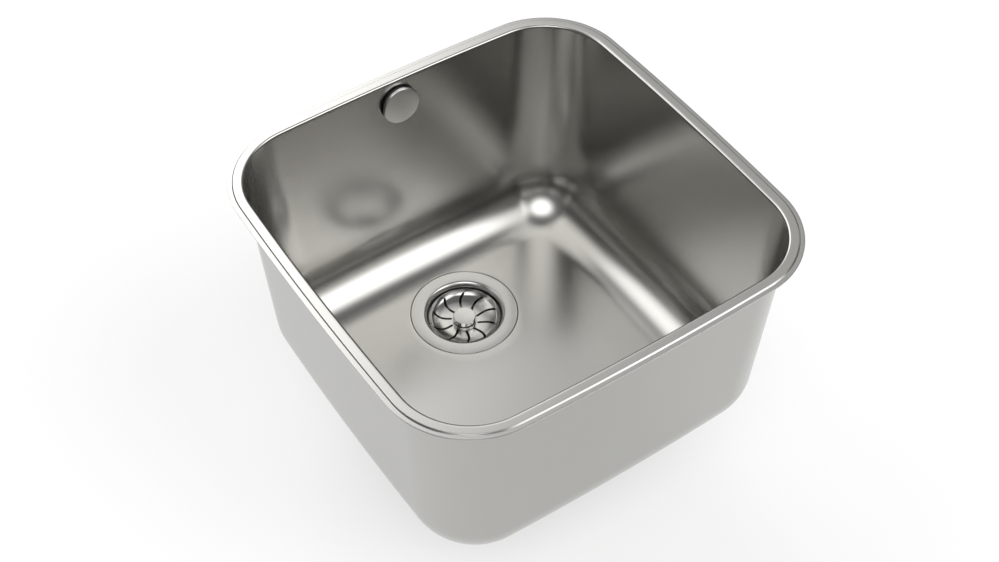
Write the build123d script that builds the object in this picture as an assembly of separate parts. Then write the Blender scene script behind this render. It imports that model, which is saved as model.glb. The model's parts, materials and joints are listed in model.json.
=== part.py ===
from build123d import *
import math
import os

# Undermount kitchen sink: a drawn steel bowl with its basket waste and its overflow.
# Millimetres. The origin is the centre of the rim's top face, the face that meets the worktop.
# +Z is up, +Y runs towards the wall with the overflow, +X to the right of it.

# Bowl: one sheet of steel, drawn.
mouth_size = 409.0          # opening, wall to wall at the worktop face
mouth_corner = 71.0         # corner radius of the opening
mouth_bend = 2.5            # rounding from the rim down into the wall
rim_width = 15.5            # flat rim around the opening
lip_width = 4.4             # outer strip of the rim, which lies lower
lip_drop = 1.2              # how much lower
sheet = 1.0                 # steel thickness
bowl_depth = 246.5          # worktop face to floor
floor_size = 384.6          # wall to wall where the walls would meet the floor
floor_corner = 66.0         # corner radius there
side_radius = 3600.0        # the four sides are bowed outwards, very slightly
floor_bend = 58.0           # rounding from the walls into the floor
cut_margin = 1.0            # how far a cut runs past what it cuts
flat_tolerance = 0.01

# Drain: a ring and cup of steel that sits in a pressed seat of the floor.
drain_back = 88.0           # drain axis, behind the centre of the bowl
ring_radius = 57.5
ring_face = 12.5            # width of the ring's flat face
ring_thick = 1.2
ring_bevel = 0.4
ring_gap = 0.5              # between the ring and the edge of its seat
seat_edge = 0.8             # rounding at the seat's edge
seat_rise = 3.0             # seat's wall above the floor, where the rear bend has begun
shoulder_reach = 4.4        # ring's flat face in to the cup's wall
cup_shoulder = 5.0          # height of that rounded shoulder
shoulder_swell = 1.0        # shoulder's middle outside the cup's wall
shoulder_share = 0.35       # depth of that middle, as a share of the shoulder's height
ring_fold = 0.4             # fold under the ring's inner edge
cup_taper = 1.6             # how much narrower the cup is at its floor
cup_depth = 34.0            # ring face to the cup's floor
cup_wall = 1.0
cup_corner = 3.0            # slant between the cup's wall and its floor
corner_gain = 0.5           # how much less the slant takes from the underside
cup_ledge = 12.0            # width of the cup's floor around its opening
hole_clearance = 3.4        # between the cup and the edge of the hole in the floor
spoke_width = 5.0
spoke_thick = 2.5
spoke_count = 4
spoke_start = 45.0          # degrees
hub_radius = 9.0

# Gaskets above and below the floor.
upper_gasket_thick = 1.3
lower_gasket_thick = 3.0
gasket_inset = 0.5          # gasket edge behind the edge of what it seals

# Threads, drawn as rings: shares of the pitch, down from each root's foot.
crest_top = 0.3
crest_foot = 0.55
root_top = 0.85

# Waste body of moulded plastic under the floor.
body_ledge = 4.9            # flange beyond the straight part
body_flange_thick = 4.0
body_wall = 3.5
body_clearance = 3.0        # around the steel cup
body_straight = 40.0        # height of the straight part under the flange
body_funnel = 15.0          # height of the cone down to the tail
tail_radius = 23.9          # male thread of one and a half inch
tail_wall = 3.9
tail_length = 27.0
tail_pitch = 2.3
tail_plain = 4.0            # plain length above the thread
tail_lead = 1.5             # plain length below it
thread_depth = 1.1
boss_radius = 9.5
boss_height = 16.0
boss_drop = 8.0             # from the cup's floor down to the boss
boss_rib = 3.0
boss_ribs = 3
boss_rib_start = 30.0       # degrees
rib_inset_top = 3.0         # ribs' top edge below the boss's face
rib_inset_foot = 2.0        # ribs' lower edge above the boss's foot
rib_root = 0.5              # how far the ribs run into the wall
insert_radius = 6.5
insert_length = 13.0

# Centre screw, which clamps the cup, the floor and the waste body together.
screw_radius = 4.0
screw_length = 24.0
screw_pitch = 1.25
screw_tooth = 0.5
screw_head = 8.0
screw_head_height = 5.7
screw_edge = 0.8
screw_tip = 1.0
socket_radius = 4.3         # hollow head, takes the basket's detent
socket_depth = 4.8
thread_gap = 0.1            # between turned faces that are screwed or pushed together

# Basket strainer: dish, knob, stem, seal carrier and seal.
dish_gap = 2.4              # between the dish and the cup's wall
dish_drop = 6.8             # ring face down to the dish's edge
dish_hollow = 8.2           # dish's edge down to its flat middle
dish_thick = 0.9
dish_flat = 13.0            # radius of the flat middle
dish_profile = ((0.10, 0.40), (0.32, 0.72), (0.62, 0.93))   # shares of its span and of its hollow
bead_reach = 0.7            # rolled edge beyond the dish
bead_root = 0.2             # and into it
bead_height = 1.2
bead_edge = 0.2
bead_drop = 0.1             # dish's edge down to the top of the roll
slot_count = 10
slot_width = 2.6
slot_inner = 15.3
slot_rim = 3.7              # slots' outer ends inside the dish's edge
slot_turn = 4.5             # degrees that the inner end leads the outer end
slot_bulge = 7.8            # degrees that the middle leads the outer end
slot_start = 24.2           # degrees, outer end of the first slot
knob_radius = 12.0
knob_height = 5.0
knob_edge = 0.7
knob_chamfer = 0.6          # at the knob's lower edge
knob_under = 0.8            # knob's lower edge up to its neck
knob_roof = 2.2             # metal above the stem
knob_rise = 8.5             # flat middle of the dish up to the knob's face
neck_radius = 9.0
collar_radius = 12.9
collar_thick = 1.6
collar_edge = 0.4
stem_radius = 4.0
stem_gap = 0.15             # around the stem in the pieces that it holds
carrier_thick = 2.5
carrier_wall = 2.5
carrier_hub = 7.5
carrier_drop = 8.2          # dish's underside down to the carrier's disc
carrier_edge = 2.0
carrier_lift = 1.4          # carrier's foot above the rubber's face
seal_overlap = 6.4          # rubber lip beyond the opening that it closes
seal_height = 5.6
seal_lift = 0.3             # rubber lip above the cup's floor when it is shut
seal_lip_thick = 1.3
seal_wall = 2.0             # rubber around the carrier
seal_root = 0.6             # how much thicker it is where the lip begins
seal_root_height = 3.0
retainer_radius = 6.6
retainer_thick = 1.4
pin_radius = 2.9
pin_foot = 3.6
pin_foot_height = 0.9
pin_lead = 0.5
pin_end_gap = 0.5           # pin's foot above the bottom of the socket
clip_gap = 0.06             # running clearance between the pin and its clip
clip_slit = 1.6
clip_play = 0.25            # between the clip and the socket
clip_end_gap = 0.1          # above and below the clip
retainer_gap = 0.3          # stem's shoulder below its retainer

# Overflow, on an axis square to the leaning rear wall.
overflow_depth = 29.5       # worktop face down to the overflow's axis
overflow_hole = 16.0
bridge_radius = 18.6
bridge_thick = 1.2
bridge_sleeve = 2.0         # wall of the sleeve that lies in the hole
bridge_reach = 3.6          # sleeve's length behind the wall's inner face
bridge_gap = 0.3            # between the sleeve and the hole
bridge_seat = 0.1           # under the bridge's flat flange, because the wall is bowed
bridge_hub = 5.0
bridge_spoke = 3.0
bridge_spoke_drop = 1.0     # spokes below the flange's face
cap_radius = 20.5
cap_edge = 1.0
cap_standoff = 3.2          # wall to the cap's rear edge
cap_depth = 3.3             # rear edge to face
cap_skin = 1.0
clip_plate = 1.4
clip_legs = 4
clip_leg_width = 5.0
clip_leg_thick = 1.5
clip_leg_reach = 2.4        # leg's end behind the wall's inner face
clip_leg_gap = 0.5          # between the legs and the sleeve
clip_leg_inset = 0.3        # for the corners of the legs
clip_leg_start = 45.0       # degrees
clip_root = 0.5             # how far the legs run into the plate
clip_ring = 5.0             # plate's inner edge inside the legs
clip_rim_gap = 0.3          # between the plate and the cap's skirt
wall_screw = 2.0
wall_screw_head = 4.0
wall_screw_head_height = 2.2
wall_screw_length = 13.0
wall_screw_edge = 0.8
wall_screw_tooth = 0.35
wall_screw_pitch = 0.9
drive_width = 4.6           # cross recess in the screw's head
drive_slot = 1.0
drive_depth = 1.2
wall_gasket_thick = 2.0
wall_gasket_gap = 1.0       # around the hole
elbow_flange = 24.0
elbow_flange_thick = 3.6
elbow_drum = 19.0
elbow_wall = 3.0
elbow_depth = 17.0          # wall's outer face to the drum's rear face
elbow_boss = 4.6
elbow_boss_gap = 0.6        # around the boss, and between it and the bridge

# Overflow hose: ribbed plastic between two spigots, with a nut and a seal at each end.
spigot_radius = 12.0
spigot_bore = 7.8
spigot_offset = 18.0        # hose's axis behind the wall's inner face
spigot_top = 2.0            # dome's centre below the overflow's axis
spigot_reach = 34.0         # spigot's end below the overflow's axis
spigot_pitch = 2.0
spigot_tooth = 0.8
spigot_plain = 3.0          # plain length at the waste body
inlet_drop = 30.0           # ring face down to the inlet's axis on the waste body
inlet_length = 14.0
hose_radius = 10.0          # over the ribs
hose_root = 8.8             # between the ribs, and of the smooth cuffs
hose_bore = 7.8
hose_bend = 36.0
hose_cuff = 22.0            # smooth straight length at each end
rib_pitch = 3.6
rib_slope = 0.2             # share of the pitch that each slope of a rib takes
rib_crest = 0.3             # share that its crest takes
hose_collar = 11.8
hose_collar_thick = 2.0
seal_washer_thick = 1.5
nut_radius = 15.5
nut_length = 16.0
nut_lip = 2.8
nut_gap = 0.15
nut_grips = 12
nut_grip_radius = 1.5
nut_grip_set = 0.6          # grips' axes outside the nut
nut_edge = 0.8
nut_shoulder = 1.4

# Sound-deadening pad under the floor.
pad_margin = 4.3            # pad's edge inside the flat part of the floor
pad_corner = 30.0
pad_thick = 3.0
pad_clearance = 14.0        # around the waste body's flange

# Worked out from the sizes above.
rim_size = mouth_size + 2 * rim_width
rim_corner = mouth_corner + rim_width
ring_flat = ring_radius - ring_face          # inner radius of the ring's flat face
cup_mouth = ring_flat - shoulder_reach      # cup's inner radius under its shoulder
cup_floor = cup_mouth - cup_taper
cup_opening = cup_floor - cup_ledge
drain_hole = cup_mouth + cup_wall + hole_clearance
dish_radius = cup_mouth - dish_gap
slot_outer = dish_radius - slot_rim
seal_lip = cup_opening + seal_overlap
carrier_radius = cup_opening
seat_radius = ring_radius + ring_gap
seat_depth = ring_thick + upper_gasket_thick
wall_inset = (mouth_size - floor_size) / 2
wall_lean = math.degrees(math.atan(wall_inset / bowl_depth))
under_floor = seat_depth + sheet            # ring face down to the seat's underside
body_top = under_floor + lower_gasket_thick
body_bore = cup_mouth + cup_wall + body_clearance
body_outer = body_bore + body_wall
body_flange = body_outer + body_ledge
body_foot = body_top + body_flange_thick + body_straight
tail_top = body_foot + body_funnel
tail_end = tail_top + tail_length
boss_top = cup_depth + boss_drop
dish_floor = dish_drop + dish_hollow
carrier_top = dish_floor + dish_thick + carrier_drop
carrier_foot = cup_depth - seal_lift - carrier_lift
retainer_top = carrier_top + carrier_thick
stem_shoulder = retainer_top + retainer_thick + retainer_gap
pin_end = cup_depth - screw_head_height + socket_depth - pin_end_gap
clip_top = stem_shoulder + clip_end_gap
clip_foot = pin_end - pin_foot_height - clip_end_gap
pad_size = floor_size - 2 * (floor_bend + pad_margin)
drain_place = Pos(0, drain_back, -bowl_depth)


def wall_reach(depth):
    """Distance from the bowl's centre plane to the inner face of a wall, at a depth."""
    return mouth_size / 2 - wall_inset * depth / bowl_depth


lean = math.radians(wall_lean)
wall_up = Vector(0, math.sin(lean), math.cos(lean))
wall_inward = Vector(0, -math.cos(lean), math.sin(lean))
overflow_centre = Vector(0, wall_reach(overflow_depth), -overflow_depth)
overflow_place = Plane(overflow_centre, x_dir=(1, 0, 0), z_dir=wall_inward).location


def turned(points):
    """Solid of revolution about Z from a closed outline of (radius, height) points."""
    outline = Polyline([(radius, 0, height) for radius, height in points], close=True)
    return revolve(make_face(outline), Axis.Z)


def ring(inner, outer, low, high):
    """Flat ring about Z."""
    return turned([(inner, low), (outer, low), (outer, high), (inner, high)])


def disc(radius, low, high):
    """Cylinder about Z between two heights."""
    return Pos(0, 0, low) * Cylinder(radius, high - low, align=(Align.CENTER, Align.CENTER, Align.MIN))


def thread_points(radius, depth, pitch, start, end):
    """Outline of thread crests and roots down a shank, as rings."""
    points = []
    turns = int((start - end) / pitch)
    for turn in range(turns):
        top = start - turn * pitch
        points += [(radius - depth, top), (radius, top - crest_top * pitch)]
        points += [(radius, top - crest_foot * pitch), (radius - depth, top - root_top * pitch)]
    return points


def bowed_square(half, corner, height):
    """Rounded square at a height, whose four sides are arcs that run smoothly into the corners."""
    inset = side_radius - half
    reach = side_radius - corner
    centre = (math.sqrt(2 * reach ** 2 - inset ** 2) - inset) / 2
    share = side_radius / reach
    along = centre * share                      # where the side's arc meets the corner's
    across = (centre + inset) * share - inset
    crown = centre + corner / math.sqrt(2)
    arcs = []
    for quarter in range(4):
        turn = Rot(0, 0, 90 * quarter)
        arcs.append(turn * ThreePointArc((-along, across), (0, half), (along, across)))
        arcs.append(turn * ThreePointArc((along, across), (crown, crown), (across, along)))
    return Pos(0, 0, height) * make_face(arcs)


def bowl_plug(grow):
    """Solid that fills the bowl, grown outwards by a sheet thickness for the outer skin."""
    side = grow / math.cos(lean)
    foot_depth = bowl_depth + grow
    mouth = bowed_square(wall_reach(0) + side, mouth_corner + grow, 0)
    foot = bowed_square(wall_reach(foot_depth) + side, floor_corner + grow, -foot_depth)
    plug = loft([foot, mouth])
    return fillet(plug.edges().group_by(Axis.Z)[0], floor_bend + grow)


def edges_at(shape, height, reach):
    """Edges that lie flat at a height and stay within a distance of the centre planes."""
    found = []
    for edge in shape.edges():
        box = edge.bounding_box()
        flat = max(abs(box.max.Z - height), abs(box.min.Z - height)) < flat_tolerance
        inside = max(box.max.X, -box.min.X, box.max.Y, -box.min.Y) < reach
        if flat and inside:
            found.append(edge)
    return found


def step_plug(inset, low):
    """Low frustum inside the rim's step line, with sides at 45 degrees."""
    half = rim_size / 2 - lip_width - inset
    corner = rim_corner - lip_width - inset
    foot = bowed_square(half, corner, low)
    top = bowed_square(half - lip_drop, corner - lip_drop, low + lip_drop)
    return loft([foot, top], ruled=True)


def make_bowl():
    lip = extrude(bowed_square(rim_size / 2, rim_corner, -lip_drop - sheet), sheet)
    fold = (math.sqrt(2) - 1) * sheet           # how far the step's underside lies further in
    shell = lip + step_plug(0, -lip_drop) - step_plug(fold, -lip_drop - sheet) + bowl_plug(sheet)
    shell += drain_place * disc(seat_radius + sheet, -under_floor, seat_rise)
    shell -= bowl_plug(0)
    reach = mouth_size / 2 + cut_margin / 2
    shell = fillet(edges_at(shell, 0, reach), mouth_bend)
    shell = fillet(edges_at(shell, -sheet, reach + sheet), mouth_bend - sheet)
    seat = fillet(disc(seat_radius, -seat_depth, seat_rise).edges().group_by(Axis.Z)[0], seat_edge / 2)
    shell -= drain_place * seat
    shell -= drain_place * disc(drain_hole, -under_floor - cut_margin, cut_margin)
    shell -= overflow_place * disc(overflow_hole, -sheet - 3 * cut_margin, 3 * cut_margin)
    return shell


def make_damping_pad():
    under = -bowl_depth - sheet
    pad = extrude(Pos(0, 0, under - pad_thick) * RectangleRounded(pad_size, pad_size, pad_corner), pad_thick)
    opening = disc(body_flange + pad_clearance, -pad_thick - sheet - cut_margin, 0)
    return pad - drain_place * opening


def make_strainer_cup():
    shoulder_in = ThreePointArc(
        (ring_flat, 0, 0),
        (cup_mouth + shoulder_swell, 0, -shoulder_share * cup_shoulder),
        (cup_mouth, 0, -cup_shoulder),
    )
    wall_in = Polyline(
        (cup_mouth, 0, -cup_shoulder),
        (cup_floor, 0, -cup_depth + cup_corner),
        (cup_floor - cup_corner, 0, -cup_depth),
        (cup_opening, 0, -cup_depth),
        (cup_opening, 0, -cup_depth - cup_wall),
        (cup_floor - cup_corner + corner_gain, 0, -cup_depth - cup_wall),
        (cup_floor + cup_wall, 0, -cup_depth + cup_corner),
        (cup_mouth + cup_wall, 0, -cup_shoulder),
    )
    shoulder_out = ThreePointArc(
        (cup_mouth + cup_wall, 0, -cup_shoulder),
        (cup_mouth + cup_wall + shoulder_swell, 0, -shoulder_share * cup_shoulder - cup_wall),
        (ring_flat + ring_fold, 0, -ring_thick),
    )
    ring_out = Polyline(
        (ring_flat + ring_fold, 0, -ring_thick),
        (ring_radius, 0, -ring_thick),
        (ring_radius, 0, -ring_bevel),
        (ring_radius - ring_bevel, 0, 0),
        (ring_flat, 0, 0),
    )
    cup = revolve(make_face([shoulder_in, wall_in, shoulder_out, ring_out]), Axis.Z)
    hub = disc(hub_radius, -cup_depth - spoke_thick, -cup_depth)
    spoke_length = cup_opening + cut_margin
    spoke = Box(spoke_length, spoke_width, spoke_thick, align=(Align.MIN, Align.CENTER, Align.MAX))
    for number in range(spoke_count):
        hub += Rot(0, 0, spoke_start + number * 360 / spoke_count) * Pos(0, 0, -cup_depth) * spoke
    hub -= disc(screw_radius + thread_gap, -cup_depth - spoke_thick - cut_margin, cut_margin - cup_depth)
    return drain_place * (cup + hub)


def make_upper_gasket():
    inner = drain_hole + gasket_inset
    return drain_place * ring(inner, ring_radius - gasket_inset, -seat_depth, -ring_thick)


def make_lower_gasket():
    inner = drain_hole + gasket_inset
    return drain_place * ring(inner, body_flange - gasket_inset, -body_top, -under_floor)


def make_waste_body():
    flange_foot = body_top + body_flange_thick
    thread_start = -tail_top - tail_plain
    thread = thread_points(tail_radius, thread_depth, tail_pitch, thread_start, -tail_end + tail_lead)
    outline = [(body_bore, -body_top), (body_flange, -body_top), (body_flange, -flange_foot)]
    outline += [(body_outer, -flange_foot), (body_outer, -body_foot), (tail_radius, -tail_top)]
    outline += thread + [(tail_radius - thread_depth, -tail_end)]
    outline += [(tail_radius - tail_wall, -tail_end), (tail_radius - tail_wall, -tail_top)]
    outline += [(body_bore, -body_foot)]
    body = turned(outline)
    inlet_axis = Pos(0, 0, -inlet_drop) * Rot(-90, 0, 0)
    start = body_bore + cut_margin
    first = body_outer + spigot_plain
    end = body_outer + inlet_length
    teeth = thread_points(spigot_radius, spigot_tooth, spigot_pitch, -first, -end + spigot_tooth)
    outline = [(0, start), (spigot_radius, start), (spigot_radius, first)]
    outline += [(radius, -height) for radius, height in teeth]
    outline += [(spigot_radius - spigot_tooth, end), (0, end)]
    spigot = turned(outline)
    body += inlet_axis * spigot
    body -= inlet_axis * disc(spigot_bore, start - body_wall, end + cut_margin)
    boss = disc(boss_radius, -boss_top - boss_height, -boss_top)
    rib_top = boss_top + rib_inset_top
    rib_height = boss_height - rib_inset_top - rib_inset_foot
    rib = Box(body_bore + rib_root, boss_rib, rib_height, align=(Align.MIN, Align.CENTER, Align.MAX))
    room = [(0, -body_top), (body_bore + 2 * rib_root, -body_top), (body_bore + 2 * rib_root, -body_foot)]
    room += [(tail_radius - tail_wall + 2 * rib_root, -tail_top), (0, -tail_top)]
    cone_room = turned(room)
    ribs = Part()
    for number in range(boss_ribs):
        ribs += Rot(0, 0, boss_rib_start + number * 360 / boss_ribs) * Pos(0, 0, -rib_top) * rib
    body += boss + (ribs & cone_room)
    body -= disc(insert_radius + thread_gap, -boss_top - insert_length, cut_margin - boss_top)
    body -= disc(screw_radius + thread_gap, -boss_top - boss_height - cut_margin, -boss_top)
    return drain_place * body


def make_body_insert():
    bore = screw_radius + thread_gap
    insert = ring(bore, insert_radius, -boss_top - insert_length, -boss_top)
    return drain_place * insert


def make_centre_screw():
    top = -cup_depth + screw_head_height
    foot = -cup_depth - screw_length
    thread = thread_points(screw_radius, screw_tooth, screw_pitch, -boss_top, foot + screw_tip)
    outline = [(0, top - socket_depth), (socket_radius, top - socket_depth), (socket_radius, top)]
    outline += [(screw_head - screw_edge, top), (screw_head, top - screw_edge), (screw_head, -cup_depth)]
    outline += [(screw_radius, -cup_depth), (screw_radius, -boss_top)] + thread
    outline += [(screw_radius - screw_tip, foot), (0, foot)]
    return drain_place * turned(outline)


def dish_curve(drop):
    """Outline of the dish from its edge to its flat middle, lowered by a drop."""
    edge_z = -dish_drop - drop
    span = dish_radius - dish_flat
    points = [(dish_radius, edge_z)]
    for share, fall in dish_profile:
        points.append((dish_radius - share * span, edge_z - fall * dish_hollow))
    points.append((dish_flat, edge_z - dish_hollow))
    return Spline([(radius, 0, height) for radius, height in points])


def make_dish():
    hole = stem_radius + stem_gap
    upper = dish_curve(0)
    lower = dish_curve(dish_thick)
    middle = Polyline(
        (dish_flat, 0, -dish_floor),
        (hole, 0, -dish_floor),
        (hole, 0, -dish_floor - dish_thick),
        (dish_flat, 0, -dish_floor - dish_thick),
    )
    rim = Line((dish_radius, 0, -dish_drop), (dish_radius, 0, -dish_drop - dish_thick))
    dish = revolve(make_face([upper, middle, lower, rim]), Axis.Z)
    root = dish_radius - bead_root
    reach = dish_radius + bead_reach
    top = -dish_drop - bead_drop
    foot = top - bead_height
    dish += turned([(root, top), (reach, top - bead_edge), (reach, foot + bead_edge), (root, foot)])

    def at(radius, angle):
        turn = math.radians(slot_start + angle)
        return (radius * math.cos(turn), radius * math.sin(turn))

    half = (slot_inner + slot_outer) / 2
    line = ThreePointArc(at(slot_inner, slot_turn), at(half, slot_bulge), at(slot_outer, 0))
    under = dish_thick + cut_margin
    slot_face = Pos(0, 0, -dish_floor - under) * SlotArc(line, slot_width)
    slot = extrude(slot_face, dish_hollow + under + cut_margin)
    for number in range(slot_count):
        dish -= Rot(0, 0, number * 360 / slot_count) * slot
    return drain_place * dish


def make_knob_collar():
    bore = stem_radius + stem_gap
    low = -dish_floor
    top = low + collar_thick
    outline = [(bore, low), (collar_radius - collar_edge, low), (collar_radius, low + collar_edge)]
    outline += [(collar_radius, top - collar_edge), (collar_radius - collar_edge, top), (bore, top)]
    return drain_place * turned(outline)


def make_knob():
    top = -dish_floor + knob_rise
    low = -dish_floor + collar_thick
    bore = stem_radius + thread_gap
    foot = top - knob_height
    stem_top = top - knob_roof
    outline = [(0, stem_top), (bore, stem_top), (bore, low), (neck_radius, low)]
    outline += [(neck_radius, foot + knob_under), (knob_radius - knob_chamfer, foot)]
    outline += [(knob_radius, foot + knob_chamfer), (knob_radius, top - knob_edge)]
    outline += [(knob_radius - 0.3 * knob_edge, top - 0.3 * knob_edge), (knob_radius - knob_edge, top)]
    outline += [(0, top)]
    return drain_place * turned(outline)


def make_stem():
    top = -dish_floor + knob_rise - knob_roof - thread_gap
    outline = [(0, top), (stem_radius, top), (stem_radius, -stem_shoulder), (pin_radius, -stem_shoulder)]
    outline += [(pin_radius, -pin_end + pin_foot_height), (pin_foot, -pin_end + pin_foot_height)]
    outline += [(pin_foot - pin_lead, -pin_end), (0, -pin_end)]
    return drain_place * turned(outline)


def make_seal_carrier():
    bore = stem_radius + stem_gap
    outline = [(bore, -dish_floor - dish_thick), (carrier_hub, -dish_floor - dish_thick)]
    outline += [(carrier_hub, -carrier_top), (carrier_radius - carrier_edge, -carrier_top)]
    outline += [(carrier_radius, -carrier_top - carrier_edge), (carrier_radius, -carrier_foot)]
    outline += [(carrier_radius - carrier_wall, -carrier_foot)]
    outline += [(carrier_radius - carrier_wall, -carrier_top - carrier_thick)]
    outline += [(bore, -carrier_top - carrier_thick)]
    return drain_place * turned(outline)


def make_basket_seal():
    bore = carrier_radius + thread_gap
    low = -cup_depth + seal_lift
    root = bore + seal_wall + seal_root
    outline = [(bore, low), (seal_lip, low), (seal_lip, low + seal_lip_thick), (root, low + seal_root_height)]
    outline += [(bore + seal_wall, low + seal_height), (bore, low + seal_height)]
    return drain_place * turned(outline)


def make_stem_retainer():
    bore = stem_radius + thread_gap
    washer = ring(bore, retainer_radius, -retainer_top - retainer_thick, -retainer_top)
    return drain_place * washer


def make_detent_clip():
    clip = ring(pin_radius + clip_gap, socket_radius - clip_play, -clip_foot, -clip_top)
    slit = Box(2 * socket_radius, clip_slit, cup_depth, align=(Align.MIN, Align.CENTER, Align.CENTER))
    return drain_place * (clip - Pos(0, 0, -clip_foot) * slit)


def make_overflow_bridge():
    outer = overflow_hole - bridge_gap
    inner = outer - bridge_sleeve
    bridge = ring(inner, bridge_radius, bridge_seat, bridge_thick)
    bridge += ring(inner, outer, -bridge_reach, bridge_thick)
    bridge += disc(bridge_hub, -bridge_reach, bridge_thick)
    length = 2 * inner + bridge_sleeve
    height = bridge_thick + bridge_reach - bridge_spoke_drop
    bar = Box(length, bridge_spoke, height, align=(Align.CENTER, Align.CENTER, Align.MIN))
    bridge += Pos(0, 0, -bridge_reach) * bar
    bridge += Rot(0, 0, 90) * Pos(0, 0, -bridge_reach) * bar
    bridge -= disc(wall_screw + thread_gap, -bridge_reach - cut_margin, bridge_thick + cut_margin)
    return overflow_place * bridge


def make_overflow_screw():
    top = bridge_thick + wall_screw_head_height
    first = -bridge_reach - elbow_boss_gap
    foot = bridge_thick - wall_screw_length
    outline = [(0, top), (wall_screw_head - wall_screw_edge, top), (wall_screw_head, top - wall_screw_edge)]
    outline += [(wall_screw_head, bridge_thick), (wall_screw, bridge_thick), (wall_screw, first)]
    outline += thread_points(wall_screw, wall_screw_tooth, wall_screw_pitch, first, foot + wall_screw_edge)
    outline += [(wall_screw - wall_screw_edge, foot), (0, foot)]
    screw = turned(outline)
    drive = Box(drive_width, drive_slot, 2 * drive_depth)
    screw -= Pos(0, 0, top) * (drive + Rot(0, 0, 90) * drive)
    return overflow_place * screw


def make_overflow_cap():
    low = cap_standoff
    top = low + cap_depth
    shell = disc(cap_radius, low, top)
    shell = fillet(shell.edges().group_by(Axis.Z)[-1], cap_edge)
    shell -= disc(cap_radius - cap_skin, low - cut_margin, top - cap_skin)
    return overflow_place * shell


def make_cap_clip():
    plate_top = cap_standoff + cap_depth - cap_skin
    plate_low = plate_top - clip_plate
    leg_outer = overflow_hole - bridge_gap - bridge_sleeve - clip_leg_gap
    clip = ring(leg_outer - clip_ring, cap_radius - cap_skin - clip_rim_gap, plate_low, plate_top)
    leg_height = plate_low + clip_leg_reach + clip_root
    leg = Box(clip_leg_thick, clip_leg_width, leg_height, align=(Align.MAX, Align.CENTER, Align.MIN))
    for number in range(clip_legs):
        turn = Rot(0, 0, clip_leg_start + number * 360 / clip_legs)
        clip += turn * Pos(leg_outer - clip_leg_inset, 0, -clip_leg_reach) * leg
    return overflow_place * clip


def make_overflow_gasket():
    inner = overflow_hole + wall_gasket_gap
    outer = elbow_flange - gasket_inset
    return overflow_place * ring(inner, outer, -sheet - wall_gasket_thick, -sheet)


def make_overflow_elbow():
    face = -sheet - wall_gasket_thick
    back = -sheet - elbow_depth
    elbow = disc(elbow_flange, face - elbow_flange_thick, face) + disc(elbow_drum, back, face)
    down = Pos(0, 0, -spigot_offset) * Rot(90, 0, 0)       # local Z of this frame points down the wall
    end = -spigot_reach + spigot_tooth
    teeth = thread_points(spigot_radius, spigot_tooth, spigot_pitch, -elbow_flange, end)
    slant = spigot_radius * math.sin(math.radians(45))
    dome = ThreePointArc(
        (0, 0, spigot_top - spigot_radius),
        (slant, 0, spigot_top - slant),
        (spigot_radius, 0, spigot_top),
    )
    side = [(spigot_radius, spigot_top), (spigot_radius, elbow_flange)]
    side += [(radius, -height) for radius, height in teeth]
    side += [(spigot_radius - spigot_tooth, spigot_reach), (0, spigot_reach), (0, spigot_top - spigot_radius)]
    tube = Polyline([(radius, 0, height) for radius, height in side])
    elbow += down * revolve(make_face([dome, tube]), Axis.Z)
    elbow -= disc(elbow_drum - elbow_wall, back + elbow_wall, face + cut_margin)
    elbow -= down * disc(spigot_bore, elbow_boss + elbow_boss_gap, spigot_reach + cut_margin)
    elbow += disc(elbow_boss, back + elbow_wall / 2, -bridge_reach - elbow_boss_gap)
    elbow -= disc(wall_screw + thread_gap, bridge_thick - wall_screw_length - cut_margin, 0)
    return overflow_place * elbow


top_end = Vector(overflow_centre) - wall_up * spigot_reach - wall_inward * spigot_offset
inlet_end = Vector(0, drain_back + body_outer + inlet_length, -bowl_depth - inlet_drop)
drop_length = (top_end.Z - inlet_end.Z) / wall_up.Z
bend_point = top_end - wall_up * drop_length
top_union = Plane(top_end, x_dir=(1, 0, 0), z_dir=-wall_up).location
inlet_union = Plane(inlet_end, x_dir=(1, 0, 0), z_dir=(0, 1, 0)).location


def make_hose():
    """Ribbed hose from seal to seal, with a collar at each end for its nut."""
    start = top_end - wall_up * seal_washer_thick
    end = inlet_end + Vector(0, seal_washer_thick, 0)
    path = FilletPolyline([start, bend_point, end], radius=hose_bend)

    def section(distance, radius):
        place = path.position_at(distance, position_mode=PositionMode.LENGTH)
        heading = path.tangent_at(distance, position_mode=PositionMode.LENGTH)
        return Plane(place, x_dir=(1, 0, 0), z_dir=heading) * Circle(radius)

    count = int((path.length - 2 * hose_cuff) / rib_pitch)
    first = (path.length - count * rib_pitch) / 2
    sections = [section(0, hose_root)]
    for number in range(count):
        rise = first + number * rib_pitch
        crest = rise + rib_slope * rib_pitch
        fall = crest + rib_crest * rib_pitch
        foot = fall + rib_slope * rib_pitch
        sections += [section(rise, hose_root), section(crest, hose_radius)]
        sections += [section(fall, hose_radius), section(foot, hose_root)]
    sections.append(section(path.length, hose_root))
    hose = loft(sections, ruled=True)
    collar = disc(hose_collar, seal_washer_thick, seal_washer_thick + hose_collar_thick)
    hose += top_union * collar
    hose += inlet_union * collar
    hose -= sweep(section(0, hose_bore), path)
    run = math.pi * (hose_root ** 2 - hose_bore ** 2) * path.length
    print("hose: length", round(path.length, 1), "bend radius", hose_bend, "ribs", count,
          "volume over that of a smooth tube", round(hose.volume / run, 2))
    return hose


def make_hose_seal(union):
    return union * ring(hose_bore, hose_collar, 0, seal_washer_thick)


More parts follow.
